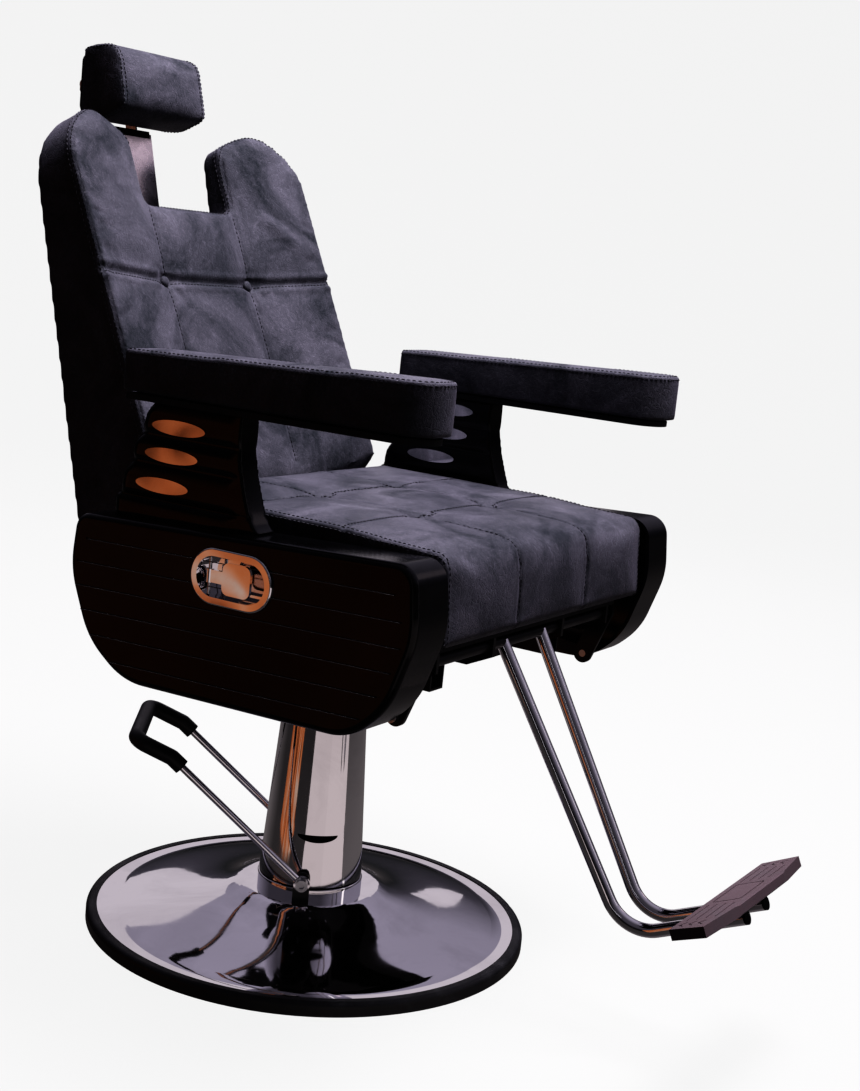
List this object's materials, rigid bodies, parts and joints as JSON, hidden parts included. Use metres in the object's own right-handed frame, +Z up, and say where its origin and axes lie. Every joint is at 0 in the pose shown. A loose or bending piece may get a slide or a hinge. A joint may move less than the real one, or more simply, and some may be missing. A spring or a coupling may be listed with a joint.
{
  "type": "hydraulic barber chair",
  "caption": "Hydraulic barber chair: round chromed base, foot pedal, swivel column, button-tufted reclining back with headrest notch, padded arms and a linked footrest.",
  "frame": {"origin": "on the floor at the centre of the round base", "axes": "+Z up the column, the chair faces -Y, +X to the sitter's left"},
  "size_m": [0.688, 1.1183, 1.1576],
  "materials": {
    "chrome": "polished",
    "zinc_steel": "satin",
    "black_steel": "satin powder coat",
    "cast_iron": "rough",
    "brass": "turned",
    "rubber": "matte",
    "black_plastic": "satin gloss",
    "tread_rubber": "matte",
    "black_leather": "soft sheen, crackle grain",
    "plywood": "covered with black lining cloth"
  },
  "bodies": {
    "base": {"base_rubber_ring": "rubber", "base_pan": "chrome", "ballast_disc": "cast_iron", "pump_housing": "black_steel", "pump_bolts": "zinc_steel", "gland_nut": "brass", "column_trim_ring": "chrome", "pedal_lugs": "black_steel", "pedal_pivot_bolts": "zinc_steel"},
    "pedal": {"pedal_arm_right": "chrome", "pedal_arm_left": "chrome", "pedal_grip": "rubber"},
    "ram": {"pump_ram": "chrome"},
    "seat": {"swivel_plate": "black_steel", "column_sleeve": "chrome", "mount_bolts": "zinc_steel", "frame_rails": "black_steel", "frame_crossbars": "black_steel", "hinge_plates": "black_steel", "footrest_ears": "black_steel", "seat_board": "plywood", "seat_cushion": "black_leather", "side_cover_right": "black_plastic", "side_cover_left": "black_plastic", "handle_bezels": "chrome", "handle_pins": "zinc_steel", "arm_post_right": "black_plastic", "arm_post_left": "black_plastic", "arm_uprights": "black_steel", "arm_inlays": "chrome", "arm_boards": "plywood", "arm_pad_right": "black_leather", "arm_pad_left": "black_leather", "strut_cylinder": "black_steel"},
    "handle_right": {"handle_flap_right": "chrome"},
    "handle_left": {"handle_flap_left": "chrome"},
    "backrest": {"back_cushion": "black_leather", "back_buttons": "black_leather", "back_board": "plywood", "back_arms": "black_steel", "back_hinge_shaft": "black_steel", "strut_bracket": "black_steel", "link_pins_rear": "zinc_steel", "headrest_guide": "black_steel"},
    "link": {"link_bars": "black_steel"},
    "strut": {"strut_rod": "zinc_steel"},
    "footrest": {"footrest_shaft": "black_steel", "footrest_cranks": "black_steel", "footrest_tube_right": "chrome", "footrest_tube_left": "chrome", "footplate": "tread_rubber", "footplate_saddles": "black_steel", "tube_caps": "black_plastic", "link_pins_front": "zinc_steel"},
    "headrest_slide": {"headrest_post": "chrome", "post_cap": "black_plastic", "tilt_screws": "zinc_steel"},
    "headrest": {"headrest_cushion": "black_leather", "headrest_board": "plywood", "tilt_bracket": "black_plastic"}
  },
  "joints": [
    {"name": "pedal_pivot", "type": "hinge", "parent": "base", "child": "pedal", "pos_m": [-0.00623, 0.00907, 0.084], "axis": [-0.8241, -0.5664, 0], "range_deg": [0, 22], "stiffness_Nm_per_rad": 14, "springref_deg": -20.05},
    {"name": "lift", "type": "slide", "parent": "base", "child": "ram", "axis": [0, 0, 1], "range_m": [0, 0.15]},
    {"name": "swivel", "type": "hinge", "parent": "ram", "child": "seat", "pos_m": [0, 0, 0.4], "axis": [0, 0, 1], "continuous": true},
    {"name": "recline", "type": "hinge", "parent": "seat", "child": "backrest", "pos_m": [0, 0.15, 0.52], "axis": [-1, 0, 0], "range_deg": [0, 45]},
    {"name": "footrest_swing", "type": "hinge", "parent": "seat", "child": "footrest", "pos_m": [0, -0.284, 0.464], "axis": [-1, 0, 0], "range_deg": [0, 45]},
    {"name": "link_swing", "type": "hinge", "parent": "backrest", "child": "link", "pos_m": [0, 0.175, 0.455], "axis": [-1, 0, 0], "range_deg": [-45, 0]},
    {"name": "strut_stroke", "type": "slide", "parent": "seat", "child": "strut", "axis": [0, -1, 0], "range_m": [0, 0.06124]},
    {"name": "handle_right_pull", "type": "hinge", "parent": "seat", "child": "handle_right", "pos_m": [-0.3345, -0.0465, 0.5345], "axis": [0, 0, -1], "range_deg": [0, 30], "stiffness_Nm_per_rad": 0.3, "springref_deg": -11.46},
    {"name": "handle_left_pull", "type": "hinge", "parent": "seat", "child": "handle_left", "pos_m": [0.3345, -0.0465, 0.5345], "axis": [0, 0, 1], "range_deg": [0, 30], "stiffness_Nm_per_rad": 0.3, "springref_deg": -11.46},
    {"name": "headrest_height", "type": "slide", "parent": "backrest", "child": "headrest_slide", "axis": [0, 0.2419, 0.9703], "range_m": [-0.035, 0.07]},
    {"name": "headrest_tilt", "type": "hinge", "parent": "headrest_slide", "child": "headrest", "pos_m": [0, 0.46532, 1.10554], "axis": [-1, 0, 0], "range_deg": [0, 40]}
  ],
  "couplings": [
    {"joint": "footrest_swing", "follows": "recline", "ratio": 1},
    {"joint": "link_swing", "follows": "recline", "ratio": -1},
    {"joint": "strut_stroke", "follows": "recline", "m_per_rad": 0.07796}
  ]
}
